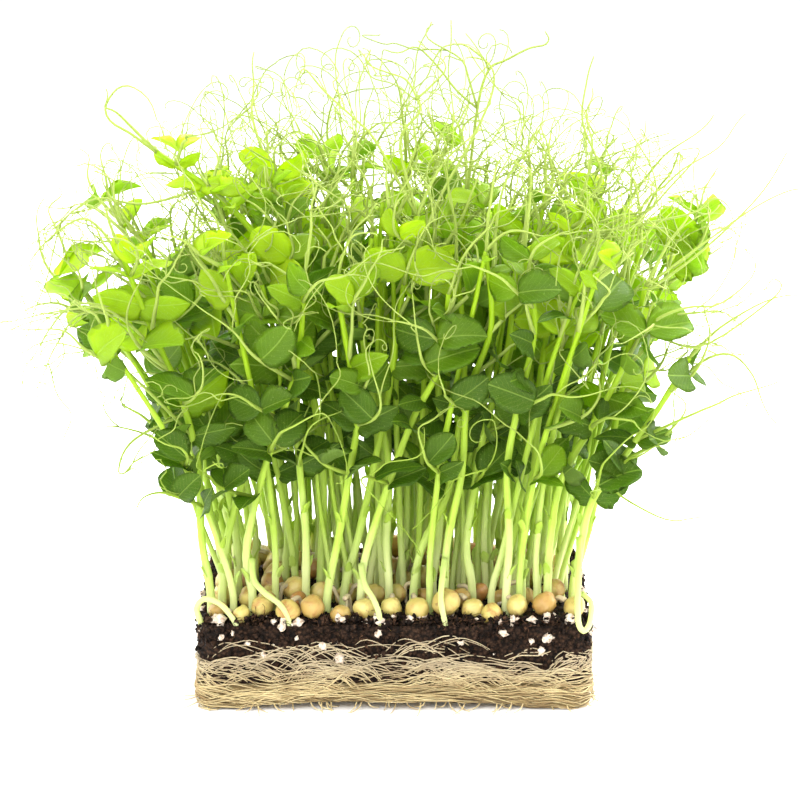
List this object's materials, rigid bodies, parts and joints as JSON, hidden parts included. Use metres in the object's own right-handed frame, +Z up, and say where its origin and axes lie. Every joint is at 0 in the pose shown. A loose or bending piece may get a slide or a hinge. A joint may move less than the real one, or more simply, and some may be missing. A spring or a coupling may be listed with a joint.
{
  "type": "pea shoot microgreens block",
  "caption": "Free-standing block of pea shoot microgreens: a root mat, dark growing medium and rows of sown peas, with upright leafy stems that end in curling tendrils.",
  "frame": {"origin": "centre of the flat underside of the root mat, where the block rests", "axes": "+Z up along the stems, +X to the right along the block's long side, and the front of the block, which the picture shows, faces -Y"},
  "size_m": [0.2832, 0.173, 0.2393],
  "materials": {
    "roots": "matte fibrous",
    "growing_medium": "matte crumbly",
    "seeds": "satin",
    "shoots": "satin"
  },
  "bodies": {
    "root": {"growing_medium": "growing_medium", "root_mat": "roots", "seed_row_1": "seeds", "seed_row_2": "seeds", "seed_row_3": "seeds", "seed_row_4": "seeds", "seed_row_5": "seeds", "shoot_01": "shoots", "shoot_02": "shoots", "shoot_03": "shoots", "shoot_04": "shoots", "shoot_05": "shoots", "shoot_06": "shoots", "shoot_07": "shoots", "shoot_08": "shoots", "shoot_09": "shoots", "shoot_10": "shoots", "shoot_11": "shoots", "shoot_12": "shoots", "shoot_13": "shoots", "shoot_14": "shoots", "shoot_15": "shoots", "shoot_16": "shoots", "shoot_17": "shoots", "shoot_18": "shoots", "shoot_19": "shoots", "shoot_20": "shoots", "shoot_21": "shoots", "shoot_22": "shoots", "shoot_23": "shoots", "shoot_24": "shoots", "shoot_25": "shoots", "shoot_26": "shoots", "shoot_27": "shoots", "shoot_28": "shoots", "shoot_29": "shoots", "shoot_30": "shoots", "shoot_31": "shoots", "shoot_32": "shoots", "shoot_33": "shoots", "shoot_34": "shoots", "shoot_35": "shoots", "shoot_36": "shoots", "shoot_37": "shoots", "shoot_38": "shoots"}
  },
  "joints": []
}
